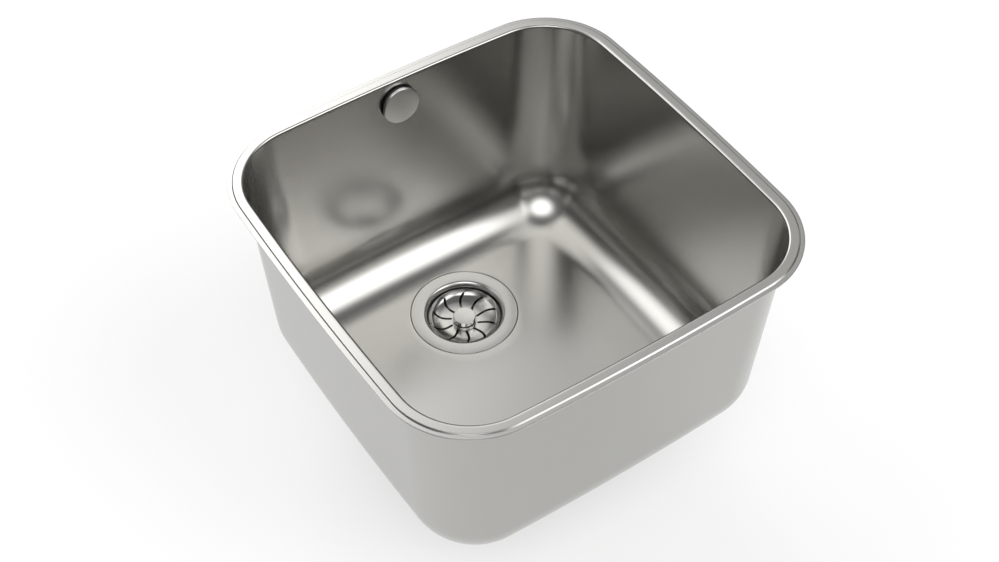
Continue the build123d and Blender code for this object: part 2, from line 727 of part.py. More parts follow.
def make_hose_nut(union):
    """Nut over the spigot's thread, its lip behind the hose's collar, with finger grips."""
    lip_low = seal_washer_thick + hose_collar_thick + nut_gap
    top = lip_low + nut_lip
    low = top - nut_length
    bore = spigot_radius + nut_gap
    eye = hose_radius + nut_gap
    outline = [(bore, low), (nut_radius - nut_edge, low), (nut_radius, low + nut_edge)]
    outline += [(nut_radius, top - nut_shoulder), (nut_radius - nut_shoulder, top), (eye, top)]
    outline += [(eye, lip_low), (bore, lip_low)]
    nut = turned(outline)
    for number in range(nut_grips):
        grip = disc(nut_grip_radius, low - cut_margin, top + cut_margin)
        grip = Pos(nut_radius + nut_grip_set, 0, 0) * grip
        nut -= Rot(0, 0, number * 360 / nut_grips) * grip
    return union * nut


pieces = {
    "bowl": make_bowl(),
    "damping_pad": make_damping_pad(),
    "strainer_cup": make_strainer_cup(),
    "upper_gasket": make_upper_gasket(),
    "lower_gasket": make_lower_gasket(),
    "waste_body": make_waste_body(),
    "body_insert": make_body_insert(),
    "centre_screw": make_centre_screw(),
    "basket_dish": make_dish(),
    "knob_collar": make_knob_collar(),
    "basket_knob": make_knob(),
    "basket_stem": make_stem(),
    "seal_carrier": make_seal_carrier(),
    "basket_seal": make_basket_seal(),
    "stem_retainer": make_stem_retainer(),
    "detent_clip": make_detent_clip(),
    "overflow_bridge": make_overflow_bridge(),
    "overflow_screw": make_overflow_screw(),
    "overflow_cap": make_overflow_cap(),
    "cap_clip": make_cap_clip(),
    "overflow_gasket": make_overflow_gasket(),
    "overflow_elbow": make_overflow_elbow(),
    "overflow_hose": make_hose(),
    "hose_seal_top": make_hose_seal(top_union),
    "hose_seal_inlet": make_hose_seal(inlet_union),
    "hose_nut_top": make_hose_nut(top_union),
    "hose_nut_inlet": make_hose_nut(inlet_union),
}

os.makedirs("parts", exist_ok=True)
for name, piece in pieces.items():
    export_step(piece, f"parts/{name}.step")
    print(name, len(piece.solids()), "solid", round(piece.volume), "mm3")
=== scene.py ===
import json
import math
import bmesh
import bpy
import numpy as np
from mathutils import Matrix, Vector


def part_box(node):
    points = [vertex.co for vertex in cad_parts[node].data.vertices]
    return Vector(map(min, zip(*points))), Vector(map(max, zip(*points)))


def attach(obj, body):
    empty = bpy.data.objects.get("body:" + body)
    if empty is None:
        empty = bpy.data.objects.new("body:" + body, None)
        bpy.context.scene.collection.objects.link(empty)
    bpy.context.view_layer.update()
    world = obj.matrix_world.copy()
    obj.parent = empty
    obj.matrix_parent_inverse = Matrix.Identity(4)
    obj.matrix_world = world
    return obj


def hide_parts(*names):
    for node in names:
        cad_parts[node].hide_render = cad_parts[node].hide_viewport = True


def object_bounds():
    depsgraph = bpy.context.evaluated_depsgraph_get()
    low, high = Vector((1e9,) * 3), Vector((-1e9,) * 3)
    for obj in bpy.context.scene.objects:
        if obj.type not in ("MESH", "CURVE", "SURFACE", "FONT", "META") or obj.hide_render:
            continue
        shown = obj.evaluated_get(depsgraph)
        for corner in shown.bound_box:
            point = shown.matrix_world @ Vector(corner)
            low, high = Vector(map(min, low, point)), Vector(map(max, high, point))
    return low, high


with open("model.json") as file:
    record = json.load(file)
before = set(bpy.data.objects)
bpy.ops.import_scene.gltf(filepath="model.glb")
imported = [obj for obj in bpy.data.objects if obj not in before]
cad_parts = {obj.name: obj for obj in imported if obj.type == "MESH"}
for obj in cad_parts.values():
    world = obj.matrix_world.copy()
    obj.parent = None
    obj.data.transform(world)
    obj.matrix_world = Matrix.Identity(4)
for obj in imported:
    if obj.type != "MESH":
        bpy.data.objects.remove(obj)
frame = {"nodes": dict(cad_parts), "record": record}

scene = bpy.context.scene
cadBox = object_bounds()
mm = 0.001
turn = 2 * math.pi
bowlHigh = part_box("bowl")[1]
ringLow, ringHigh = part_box("strainer_cup")
drainCentre = Vector((0, (ringLow.y + ringHigh.y) / 2, ringHigh.z))
nodeSlots = {part["node"]: part["material_slot"] for part in frame["record"]["subparts"]}
print("frame loaded with", len(frame["nodes"]), "nodes")

# The photo is 999 by 562 pixels. Its camera stands this far from the middle of the opening.
cameraPlace = {"azimuth": -33.89, "elevation": 49.12, "distance": 1.4533, "right": -0.01114, "up": -0.07293,
               "focalPixels": 1562.4, "imageWidth": 999, "sensor": 36.0, "clip": (0.05, 50)}


def placeCamera(p):
    a, e = math.radians(p["azimuth"]), math.radians(p["elevation"])
    back = Vector((math.sin(a) * math.cos(e), -math.cos(a) * math.cos(e), math.sin(e)))
    right = (-back).cross(Vector((0, 0, 1))).normalized()
    up = right.cross(-back)
    data = bpy.data.cameras.new("photoCamera")
    data.sensor_width = p["sensor"]
    data.lens = p["focalPixels"] / p["imageWidth"] * p["sensor"]
    data.clip_start, data.clip_end = p["clip"]
    camera = bpy.data.objects.new("photoCamera", data)
    scene.collection.objects.link(camera)
    camera.location = right * p["right"] + up * p["up"] + back * p["distance"]
    camera.rotation_mode = "QUATERNION"
    camera.rotation_quaternion = (-back).to_track_quat("-Z", "Y")
    scene.camera = camera


placeCamera(cameraPlace)
print("camera placed")


# Mesh tools. Every shape below is a grid of points worked out as whole arrays. A piece rides on a body and
# stands in for a CAD node, whose slot gives it its finish.

pieceTools = {"mergeGrid": 2e-7, "mergeCopy": 2e-6, "flatEdge": 1e-8, "sharpGrid": 38, "sharpCopy": 32}


def addPiece(name, source, node, body, merge, sharp, place=None):
    clean = bmesh.new()
    clean.from_mesh(source)
    if place is not None:
        clean.transform(place)
    bmesh.ops.remove_doubles(clean, verts=clean.verts, dist=merge)
    bmesh.ops.dissolve_degenerate(clean, edges=clean.edges, dist=pieceTools["flatEdge"])
    bmesh.ops.recalc_face_normals(clean, faces=clean.faces)
    if clean.calc_volume(signed=True) < 0:
        bmesh.ops.reverse_faces(clean, faces=clean.faces)
    mesh = bpy.data.meshes.new(name)
    clean.to_mesh(mesh)
    clean.free()
    for attribute in ("custom_normal", "sharp_face", "sharp_edge"):
        if attribute in mesh.attributes:
            mesh.attributes.remove(mesh.attributes[attribute])
    mesh.shade_smooth()
    mesh.set_sharp_from_angle(angle=math.radians(sharp))
    mesh.materials.append(finishes[nodeSlots[node]])
    piece = bpy.data.objects.new(name, mesh)
    scene.collection.objects.link(piece)
    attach(piece, body)
    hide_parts(node)
    return piece


def addMesh(name, points, faces, node, body, sharp=pieceTools["sharpGrid"]):
    mesh = bpy.data.meshes.new(name)
    mesh.from_pydata(points.reshape(-1, 3).tolist(), [], faces.tolist())
    return addPiece(name, mesh, node, body, pieceTools["mergeGrid"], sharp)


# Smooth copy of a CAD node: its points are merged, and edges under an angle are shaded round.
def addSmoothCopy(node, body):
    source = frame["nodes"][node]
    return addPiece(node + "Smooth", source.data, node, body, pieceTools["mergeCopy"],
                    pieceTools["sharpCopy"], place=source.matrix_world)


# Closed shell between an upper and an under skin. Both are grids of rows by columns, and the columns
# run round and meet. keep says which cells are there; a wall closes every edge next to a missing one.
def shellFaces(rows, columns, keep):
    r, c = np.meshgrid(np.arange(rows - 1), np.arange(columns), indexing="ij")
    after = (c + 1) % columns
    a, b = r * columns + c, r * columns + after
    d, e = (r + 1) * columns + c, (r + 1) * columns + after
    under = rows * columns
    upperFaces = np.stack([a, b, e, d], -1)[keep]
    underFaces = np.stack([d, e, b, a], -1)[keep] + under
    padded = np.vstack([np.zeros((1, columns), bool), keep, np.zeros((1, columns), bool)])
    walls = []
    for rowEdge in range(rows):                      # one edge ring per row
        ahead, behind = padded[rowEdge + 1], padded[rowEdge]
        start = rowEdge * columns + np.arange(columns)
        end = rowEdge * columns + (np.arange(columns) + 1) % columns
        for wanted, p, q in ((ahead & ~behind, start, end), (behind & ~ahead, end, start)):
            walls.append(np.stack([q, p, p + under, q + under], -1)[wanted])
    left = np.roll(keep, 1, axis=1)
    near = r * columns + c
    far = (r + 1) * columns + c
    for wanted, p, q in ((keep & ~left, far, near), (left & ~keep, near, far)):
        walls.append(np.stack([q, p, p + under, q + under], -1)[wanted])
    return np.vstack([upperFaces, underFaces] + walls)


def addShell(name, upper, under, keep, node, body, sharp):
    rows, columns = upper.shape[:2]
    points = np.concatenate([upper.reshape(-1, 3), under.reshape(-1, 3)])
    return addMesh(name, points, shellFaces(rows, columns, keep), node, body, sharp)


# Outline with rounded corners: each corner (x, y, radius) becomes an arc that touches both its sides. A
# corner that is almost straight stays a point.
def softOutline(corners, steps=5):
    count, almost = len(corners), 0.01
    place = np.array([c[:2] for c in corners], float)
    result = []
    for k in range(count):
        radius = corners[k][2] if len(corners[k]) > 2 else 0
        here, before, after = place[k], place[k - 1], place[(k + 1) % count]
        toBefore, toAfter = before - here, after - here
        toBefore = toBefore / np.linalg.norm(toBefore)
        toAfter = toAfter / np.linalg.norm(toAfter)
        half = math.acos(np.clip(toBefore @ toAfter, -1, 1)) / 2
        if radius <= 0 or half > math.pi / 2 - almost:
            result.append(here)
            continue
        middle = (toBefore + toAfter) / np.linalg.norm(toBefore + toAfter)
        centre = here + middle * radius / math.sin(half)
        first = here + toBefore * radius / math.tan(half) - centre
        last = here + toAfter * radius / math.tan(half) - centre
        sweep = math.atan2(first[0] * last[1] - first[1] * last[0], first @ last)
        angles = np.linspace(0, sweep, steps + 1)
        cos, sin = np.cos(angles), np.sin(angles)
        arc = np.stack([first[0] * cos - first[1] * sin, first[0] * sin + first[1] * cos], -1)
        result.extend(centre + arc)
    return np.array(result)


# Points of an outline (radius, height) carried once round an axis.
def turnedPoints(outline, segments, place):
    angle = np.linspace(0, turn, segments, endpoint=False)
    radius, height = outline[:, :1], outline[:, 1:]
    flat = np.stack([radius * np.cos(angle), radius * np.sin(angle), height + 0 * angle], -1)
    return moved(flat, place)


def moved(points, place):
    matrix = np.array(place)
    return points @ matrix[:3, :3].T + matrix[:3, 3]


def ringFaces(rows, columns):
    r, c = np.meshgrid(np.arange(rows), np.arange(columns), indexing="ij")
    nextRow, nextColumn = (r + 1) % rows, (c + 1) % columns
    faces = np.stack([r * columns + c, r * columns + nextColumn, nextRow * columns + nextColumn,
                      nextRow * columns + c], -1)
    return faces.reshape(-1, 4)


# Turned piece from a closed outline in millimetres, round an axis given by a placing matrix.
def addTurned(name, corners, node, body, place, segments=96, steps=5):
    outline = softOutline(corners, steps) * mm
    points = turnedPoints(outline, segments, place)
    return addMesh(name, points, ringFaces(len(outline), segments), node, body)


# Bowl: one drawn sheet. Its plan at every height is a square with slightly bowed sides and round corners.
# Sizes are in millimetres. The rings beside a bend or a step keep the shading of the flat next to it even.
bowl = {"rimHalf": bowlHigh.x / mm, "rimCorner": 86.5, "mouthHalf": 204.5, "mouthCorner": 71.0,
        "floorHalf": 192.3, "floorCorner": 66.0, "depth": 246.5, "sideRadius": 3600.0, "sheet": 1.0,
        "mouthBend": 2.5, "floorBend": 58.0, "bendStart": 35.0, "bendLimit": 0.95,
        "lipWidth": 4.4, "lipDrop": 1.2, "stepRound": 0.5, "edgeRound": 0.35, "edgeStart": 0.35,
        "besideMouth": 1.5, "besideStep": 1.2, "besideFoot": 1.0,
        "seatRadius": 58.0, "seatDepth": 2.5, "seatRound": 0.5, "seatFillet": 0.4, "besideSeat": (3.0, 1.2),
        "holeRadius": 45.0, "besideHole": 0.8,
        "overflowDepth": 29.5, "overflowHole": 16.0, "overflowBlock": 24.0, "overflowCore": 12.0,
        "blockCells": 24, "sideSteps": 21, "cornerSteps": 26, "bendSteps": 21, "wallSteps": 20,
        "mouthSteps": 9, "rimSteps": 4, "stepSteps": 5, "lipSteps": 3, "edgeSteps": 4,
        "filletSteps": 5, "roundSteps": 7, "probes": 301, "startShare": 0.12, "floorSteps": (16, 18)}
wallLean = math.atan((bowl["mouthHalf"] - bowl["floorHalf"]) / bowl["depth"])

# The overflow's own axes: z out of the leaning rear wall, x to the right.
overflowDrop = bowl["overflowDepth"]
overflowPlace = Matrix.Translation(
    (0, (bowl["mouthHalf"] - overflowDrop * math.tan(wallLean)) * mm, -overflowDrop * mm)
) @ Matrix.Rotation(math.pi / 2 - wallLean, 4, "X")
drainPlace = Matrix.Translation(drainCentre)


# Materials. Each is named for its finish.

def newMaterial(name):
    material = bpy.data.materials.new(name)
    material.use_nodes = True
    tree = material.node_tree
    return material, tree, tree.nodes["Principled BSDF"]


def addNode(tree, kind, **values):
    node = tree.nodes.new(kind)
    for key, value in values.items():
        if key in node.inputs:
            node.inputs[key].default_value = value
        else:
            setattr(node, key, value)
    return node


# Every material is even in colour, and its roughness and height vary with fine grain and with wide, soft
# clouds. grooves gives the middle and the axis of a turned face, whose grain then runs in rings.
grainShape = {"detail": 3.0, "roughness": 0.6, "cloudScale": 9.0, "cloudDetail": 2.0, "cloudRoughness": 0.5,
              "depth": 0.0004}


def grainMaterial(name, colour, rough, metal=1.0, grain=900.0, spread=0.05, cloud=0.03, bump=0.02, tint=0.03,
                  grooves=None, specular=0.5):
    material, tree, shader = newMaterial(name)
    link = tree.links.new
    shader.inputs["Metallic"].default_value = metal
    shader.inputs["Specular IOR Level"].default_value = specular
    coordinate = addNode(tree, "ShaderNodeTexCoord")
    fine = addNode(tree, "ShaderNodeTexNoise", Scale=grain, Detail=grainShape["detail"],
                   Roughness=grainShape["roughness"])
    wide = addNode(tree, "ShaderNodeTexNoise", Scale=grainShape["cloudScale"],
                   Detail=grainShape["cloudDetail"], Roughness=grainShape["cloudRoughness"])
    link(coordinate.outputs["Object"], wide.inputs["Vector"])
    if grooves:
        offset = addNode(tree, "ShaderNodeVectorMath", operation="SUBTRACT")
        offset.inputs[1].default_value = grooves["centre"]
        across = addNode(tree, "ShaderNodeVectorMath", operation="CROSS_PRODUCT")
        across.inputs[1].default_value = grooves["axis"]
        radius = addNode(tree, "ShaderNodeVectorMath", operation="LENGTH")
        along = addNode(tree, "ShaderNodeVectorMath", operation="DOT_PRODUCT")
        along.inputs[1].default_value = grooves["axis"]
        ringed = addNode(tree, "ShaderNodeCombineXYZ")
        link(coordinate.outputs["Object"], offset.inputs[0])
        link(offset.outputs["Vector"], across.inputs[0])
        link(offset.outputs["Vector"], along.inputs[0])
        link(across.outputs["Vector"], radius.inputs[0])
        link(radius.outputs["Value"], ringed.inputs["X"])
        link(along.outputs["Value"], ringed.inputs["Y"])
        link(ringed.outputs["Vector"], fine.inputs["Vector"])
    else:
        link(coordinate.outputs["Object"], fine.inputs["Vector"])
    fineRough = addNode(tree, "ShaderNodeMapRange")
    fineRough.inputs["To Min"].default_value = rough - spread
    fineRough.inputs["To Max"].default_value = rough + spread
    wideRough = addNode(tree, "ShaderNodeMapRange")
    wideRough.inputs["To Min"].default_value = -cloud
    wideRough.inputs["To Max"].default_value = cloud
    total = addNode(tree, "ShaderNodeMath", operation="ADD")
    link(fine.outputs["Fac"], fineRough.inputs["Value"])
    link(wide.outputs["Fac"], wideRough.inputs["Value"])
    link(fineRough.outputs["Result"], total.inputs[0])
    link(wideRough.outputs["Result"], total.inputs[1])
    link(total.outputs["Value"], shader.inputs["Roughness"])
    shade = addNode(tree, "ShaderNodeMix", data_type="RGBA")
    shade.inputs["A"].default_value = [*[v * (1 - tint) for v in colour], 1]
    shade.inputs["B"].default_value = [*[min(1, v * (1 + tint)) for v in colour], 1]
    link(wide.outputs["Fac"], shade.inputs["Factor"])
    link(shade.outputs["Result"], shader.inputs["Base Color"])
    height = addNode(tree, "ShaderNodeBump", Strength=bump, Distance=grainShape["depth"])
    link(fine.outputs["Fac"], height.inputs["Height"])
    link(height.outputs["Normal"], shader.inputs["Normal"])
    return material


drainAxis = {"centre": tuple(drainCentre), "axis": (0, 0, 1)}
finishes = {
    "satin_steel": grainMaterial("satinSteel", (0.435, 0.43, 0.412), 0.23, spread=0.03, cloud=0.015,
                                 bump=0.004, tint=0.01),
    "pressed_steel": grainMaterial("ringSteel", (0.46, 0.458, 0.445), 0.22, spread=0.04, bump=0.01,
                                   grooves=drainAxis),
    "bright_steel": grainMaterial("dishSteel", (0.48, 0.478, 0.465), 0.15, spread=0.04, bump=0.008,
                                  grooves=drainAxis),
    "knob_steel": grainMaterial("knobSteel", (0.52, 0.518, 0.505), 0.22, bump=0.012, grooves=drainAxis),
    "cap_steel": grainMaterial("capSteel", (0.62, 0.618, 0.605), 0.30, spread=0.02, cloud=0.01, bump=0.002),
    "spring_steel": grainMaterial("springSteel", (0.42, 0.42, 0.41), 0.28),
    "fastener_steel": grainMaterial("fastenerSteel", (0.48, 0.48, 0.47), 0.25),
    "insert_brass": grainMaterial("insertBrass", (0.62, 0.46, 0.20), 0.28),
    "dark_plastic": grainMaterial("darkPlastic", (0.022, 0.022, 0.024), 0.45, metal=0.0, grain=1500.0,
                                  bump=0.08),
    "nut_plastic": grainMaterial("nutPlastic", (0.03, 0.03, 0.033), 0.38, metal=0.0, grain=1200.0, bump=0.06),
    "hose_plastic": grainMaterial("hosePlastic", (0.33, 0.34, 0.35), 0.36, metal=0.0, grain=700.0, bump=0.04),
    "seal_rubber": grainMaterial("sealRubber", (0.016, 0.016, 0.016), 0.62, metal=0.0, grain=2200.0, bump=0.1,
                                 specular=0.35),
    "pad_rubber": grainMaterial("padRubber", (0.055, 0.055, 0.058), 0.72, metal=0.0, grain=1600.0, bump=0.2,
                                specular=0.3)}
print("materials made")


# Even steps across the square block of cells behind the overflow.
def blockSteps(p):
    return np.linspace(-p["overflowBlock"], p["overflowBlock"], p["blockCells"] + 1)


# Places along one side, as shares of its straight reach, close together behind the overflow.
def sideShares(p):
    block = blockSteps(p) / (p["mouthHalf"] - p["mouthCorner"])
    outer = np.linspace(-1, block[0], p["sideSteps"])[:-1]
    return np.concatenate([outer, block, -outer[::-1]])


bowlShares = sideShares(bowl)
overflowColumn = bowl["sideSteps"] - 1          # first column of the block behind the overflow


# One ring of the plan: on each side y = sqrt(R2 - x2) - (R - half), and the corner arcs touch both sides.
def planRing(half, corner):
    big = bowl["sideRadius"]
    inset, reach = big - half, big - corner
    centre = (math.sqrt(2 * reach ** 2 - inset ** 2) - inset) / 2
    along = centre * big / reach
    x = bowlShares[:-1] * along
    side = np.stack([x, np.sqrt(big ** 2 - x ** 2) - inset], -1)
    first = math.asin(along / big)
    angle = np.linspace(first, math.pi / 2 - first, bowl["cornerSteps"] + 1)[:-1]
    bend = centre + corner * np.stack([np.sin(angle), np.cos(angle)], -1)
    quarter = np.concatenate([side, bend])
    x, y = quarter[:, 0], quarter[:, 1]
    return np.concatenate([quarter, np.stack([y, -x], -1), -quarter, np.stack([-y, x], -1)])


# Half width and corner radius of the flat part of the floor, where the bends begin.
def flatPart(p):
    centreZ = -p["depth"] + p["floorBend"]
    half = p["mouthHalf"] + (p["mouthHalf"] - p["floorHalf"]) * centreZ / p["depth"]
    topZ = centreZ - p["floorBend"] * math.sin(wallLean)
    corner = p["mouthCorner"] + (p["mouthCorner"] - p["floorCorner"]) * topZ / p["depth"]
    return half - p["floorBend"] / math.cos(wallLean), corner - p["floorBend"]


# Distance of places in plan from the flat part of the floor, and 0 inside it.
def pastFlat(p, flat):
    half, corner = flatPart(p)
    big = p["sideRadius"]
    inset, reach = big - half, big - corner
    centre = (math.sqrt(2 * reach ** 2 - inset ** 2) - inset) / 2
    x, y = np.abs(flat[..., 0]), np.abs(flat[..., 1])
    side = np.maximum(x - np.sqrt(big ** 2 - y ** 2), y - np.sqrt(big ** 2 - x ** 2)) + inset
    edge = centre * big / reach
    bent = np.hypot(x - centre, y - centre) - corner
    past = np.where((np.minimum(x, y) > centre) & (x + y > centre + edge), bent, side)
    return np.clip(past, 0, p["floorBend"] * p["bendLimit"])


# Height of the floor and its bends over the plan: at a distance d past the flat part it is
# B - sqrt(B2 - d2) above the floor, with B the bend's radius.
def floorHeight(p, flat, grow):
    bend = p["floorBend"]
    return -p["depth"] + bend - np.sqrt((bend + grow) ** 2 - pastFlat(p, flat) ** 2)


# Profile of one skin from the bend's steep part to the lip, as rows of (half, corner, height).
# grow is 0 for the upper skin and the sheet's thickness for the under skin.
def skinProfile(p, grow):
    lean = wallLean

    def wallHalf(z):
        return p["mouthHalf"] + (p["mouthHalf"] - p["floorHalf"]) * z / p["depth"] + grow / math.cos(lean)

    def wallCorner(z):
        return p["mouthCorner"] + (p["mouthCorner"] - p["floorCorner"]) * z / p["depth"] + grow

    rows = []
    bend = p["floorBend"]
    centreZ = -p["depth"] + bend
    centreHalf, centreCorner = flatPart(p)
    for angle in np.linspace(math.radians(p["bendStart"]), math.pi / 2 - lean, p["bendSteps"]):
        out = (bend + grow) * math.sin(angle)
        rows.append((centreHalf + out, centreCorner + out, centreZ - (bend + grow) * math.cos(angle)))
    bendTop = centreZ - bend * math.sin(lean)
    for z in np.linspace(bendTop, -p["overflowDepth"] - p["overflowBlock"], p["wallSteps"])[1:-1]:
        rows.append((wallHalf(z), wallCorner(z), z))
    for step in blockSteps(p):
        z = -p["overflowDepth"] + step * math.cos(lean)
        rows.append((wallHalf(z), wallCorner(z), z))
    mouthRound = p["mouthBend"] - grow
    centreHalf = wallHalf(-p["mouthBend"]) + mouthRound / math.cos(lean)
    centreCorner = wallCorner(-p["mouthBend"]) + mouthRound
    for angle in np.linspace(lean, math.pi / 2, p["mouthSteps"]):
        inward = mouthRound * math.cos(angle)
        rows.append((centreHalf - inward, centreCorner - inward,
                     -p["mouthBend"] + mouthRound * math.sin(angle)))
    fold = (math.sqrt(2) - 1) * grow
    foot = p["rimHalf"] - p["lipWidth"]
    ridge = foot - p["lipDrop"] - fold
    reach = p["stepRound"] * math.tan(math.pi / 8)
    extra = p["rimCorner"] - p["rimHalf"]
    for half in np.linspace(rows[-1][0] + p["besideMouth"], ridge - p["besideStep"], p["rimSteps"]):
        rows.append((half, extra + half, -grow))
    for share in np.linspace(0, 1, p["stepSteps"]):    # rounded top of the step
        rows.append(stepCorner(ridge, -grow, reach, share, extra, falling=True))
    lip = -p["lipDrop"] - grow
    for share in np.linspace(0, 1, p["stepSteps"]):    # rounded foot of the step
        rows.append(stepCorner(foot - fold, lip, reach, share, extra, falling=False))
    edge = p["edgeRound"]
    for half in np.linspace(foot + p["besideFoot"], p["rimHalf"] - edge, p["lipSteps"]):
        rows.append((half, extra + half, lip))
    inner = 1 if grow else -1
    for angle in np.linspace(p["edgeStart"], math.pi / 2, p["edgeSteps"]):    # rounded edge of the lip
        half = p["rimHalf"] - edge + edge * math.sin(angle)
        rows.append((half, extra + half, lip + inner * edge * (1 - math.cos(angle))))
    return rows


# Corner of the step, as a curve through its two tangent points and drawn towards the corner.
def stepCorner(half, z, reach, share, extra, falling):
    slope = math.sqrt(0.5)
    flat, steep = np.array([-reach, 0.0]), np.array([reach * slope, -reach * slope])
    start, end = (flat, steep) if falling else (-steep, -flat)
    place = start * (1 - share) ** 2 + end * share ** 2
    return half + place[0], extra + half + place[0], z + place[1]


# Rows round the drain as (radius, height): from the hole over the seat's floor and up its wall. The last
# ones follow the floor's height, because the seat reaches a little into the rear bend.
def seatRows(p, heading, centre, grow):
    seat = -p["depth"] - p["seatDepth"] - grow
    edge, soft, fillet = p["seatRadius"] + grow, p["seatRound"], p["seatFillet"]
    low = [(p["holeRadius"], seat), (p["holeRadius"] + p["besideHole"], seat)]
    low += [(edge - inward, seat) for inward in p["besideSeat"]]
    for a in np.linspace(0, math.pi / 2, p["filletSteps"]):
        low.append((edge - fillet + fillet * math.sin(a), seat + fillet * (1 - math.cos(a))))
    rows = [np.column_stack([centre + heading * radius, np.full(len(heading), z)]) for radius, z in low]
    for a in np.linspace(0, math.pi / 2, p["roundSteps"]):
        flat = centre + heading * (edge + soft - soft * math.cos(a))
        rows.append(np.column_stack([flat, floorHeight(p, flat, grow) - soft + soft * math.sin(a)]))
    return rows


# Floor between the seat's edge and the steep part of the bend: straight in plan, in two runs that meet
# where the bend begins. Each heading is probed for the share of its way at which that is.
def floorRows(p, circle, outer, grow):
    shares = np.linspace(0, 1, p["probes"])
    line = circle[None] + (outer - circle)[None] * shares[:, None, None]
    start = shares[np.argmax(pastFlat(p, line) > 0, axis=0)]
    start = np.minimum(np.sqrt(start ** 2 + p["startShare"] ** 2), p["bendLimit"])
    inside, bent = p["floorSteps"]
    steps = np.concatenate([np.arange(1, inside + 1) / inside, 1 + np.arange(1, bent) / bent])
    rows = []
    for step in steps:
        share = np.where(step <= 1, start * step, start + (1 - start) * (step - 1))
        flat = circle + (outer - circle) * share[:, None]
        rows.append(np.column_stack([flat, floorHeight(p, flat, grow)]))
    return rows


def bowlSkin(p, grow):
    profile = skinProfile(p, grow)
    outer = planRing(profile[0][0], profile[0][1])
    centre = np.array([drainCentre.x, drainCentre.y]) / mm
    heading = outer - centre
    heading = heading / np.linalg.norm(heading, axis=1, keepdims=True)
    rows = seatRows(p, heading, centre, grow)
    rows += floorRows(p, rows[-1][:, :2], outer, grow)
    for half, corner, z in profile:
        flat = planRing(half, corner)
        rows.append(np.column_stack([flat, np.full(len(flat), z)]))
    return np.array(rows)


# Opens the round hole behind the overflow: the square core of the block is spread to a circle, and the
# shift fades out to the block's edge.
def openOverflow(skin, p, grow, firstRow):
    steps = blockSteps(p)
    count = len(steps)
    cells = np.stack(np.meshgrid(steps, steps), -1)
    square = np.abs(cells).max(-1, keepdims=True)
    length = np.linalg.norm(cells, axis=-1, keepdims=True)
    tiny = 1e-6                                      # keeps the middle cell from dividing by zero
    fade = np.clip((square - p["overflowCore"]) / (p["overflowBlock"] - p["overflowCore"]), 0, 1)
    onCircle = cells / np.maximum(length, tiny) * p["overflowHole"]
    onSquare = cells / np.maximum(square, tiny) * p["overflowBlock"]
    target = onCircle * (1 - fade) + onSquare * fade
    shift = np.where(square >= p["overflowCore"] - tiny, target - cells, 0)
    rows = slice(firstRow, firstRow + count)
    columns = slice(overflowColumn, overflowColumn + count)
    part = skin[rows, columns]
    x = part[..., 0] + shift[..., 0]
    z = part[..., 2] + shift[..., 1] * math.cos(wallLean)
    half = p["mouthHalf"] + (p["mouthHalf"] - p["floorHalf"]) * z / p["depth"] + grow / math.cos(wallLean)
    big = p["sideRadius"]
    y = np.sqrt(big ** 2 - x ** 2) - (big - half)
    skin[rows, columns] = np.stack([x, y, z], -1)
    return count


def addBowl(p):
    upper, under = bowlSkin(p, 0.0), bowlSkin(p, p["sheet"])
    rowHeights = upper[:, overflowColumn, 2]
    wanted = -p["overflowDepth"] - p["overflowBlock"] * math.cos(wallLean)
    firstRow = int(np.argmin(np.abs(rowHeights - wanted)))
    count = openOverflow(upper, p, 0.0, firstRow)
    openOverflow(under, p, p["sheet"], firstRow)
    keep = np.ones((upper.shape[0] - 1, upper.shape[1]), bool)
    margin = round((1 - p["overflowCore"] / p["overflowBlock"]) * p["blockCells"] / 2)
    keep[firstRow + margin:firstRow + count - 1 - margin,
         overflowColumn + margin:overflowColumn + count - 1 - margin] = False
    return addShell("bowlSheet", upper * mm, under * mm, keep, "bowl", "sink", sharp=60)


bowlSheet = addBowl(bowl)
print("bowl made:", len(bowlSheet.data.polygons), "faces")


# Strainer cup: steel ring, rounded shoulder, cup and its floor, then the cross of spokes with its hub.
# Outlines are corners (radius, height, rounding) in millimetres, with height 0 at the ring's face.
strainer = {"cup": [(57.5, 0, 0.35), (57.5, -1.2, 0.15), (41.75, -1.2, 3.2), (40.0, -31.0, 2.5),
                    (36.5, -35.0, 2.0), (27.0, -35.0, 0.3), (27.0, -34.0, 0.3), (36.0, -34.0, 2.0),
                    (39.0, -31.0, 2.5), (40.9, 0, 4.1)],
            "hub": [(4.1, -36.5, 0.2), (9.0, -36.5, 0.5), (9.0, -34.0, 0.5), (4.1, -34.0, 0.2)],
            "spokeFrom": 8.0, "spokeTo": 27.6, "spokeWidth": 5.0, "spokeTop": -34.0, "spokeFoot": -36.5,
            "spokeRound": 0.6, "spokes": 4, "firstSpoke": 45.0}


# Straight bar between two radii, with a rounded section: the section's outline is carried along the bar,
# and shrinks to its middle at both ends.
def addSpoke(name, p, angle):
    width, top, foot = p["spokeWidth"] / 2, p["spokeTop"], p["spokeFoot"]
    corners = [(-width, foot), (width, foot), (width, top), (-width, top)]
    section = softOutline([(x, z, p["spokeRound"]) for x, z in corners], steps=4)
    ends = [(p["spokeFrom"], 0.0), (p["spokeFrom"], 1.0), (p["spokeTo"], 1.0), (p["spokeTo"], 0.0)]
    middle = np.array([0, (top + foot) / 2])
    rows = []
    for radius, share in ends:
        here = middle + (section - middle) * share
        rows.append(np.column_stack([np.full(len(here), radius), here]))
    points = moved(np.array(rows) * mm, drainPlace @ Matrix.Rotation(math.radians(angle), 4, "Z"))
    count = len(section)
    faces = ringFaces(len(ends), count)[:count * (len(ends) - 1)]
    return addMesh(name, points, faces, "strainer_cup", "sink")


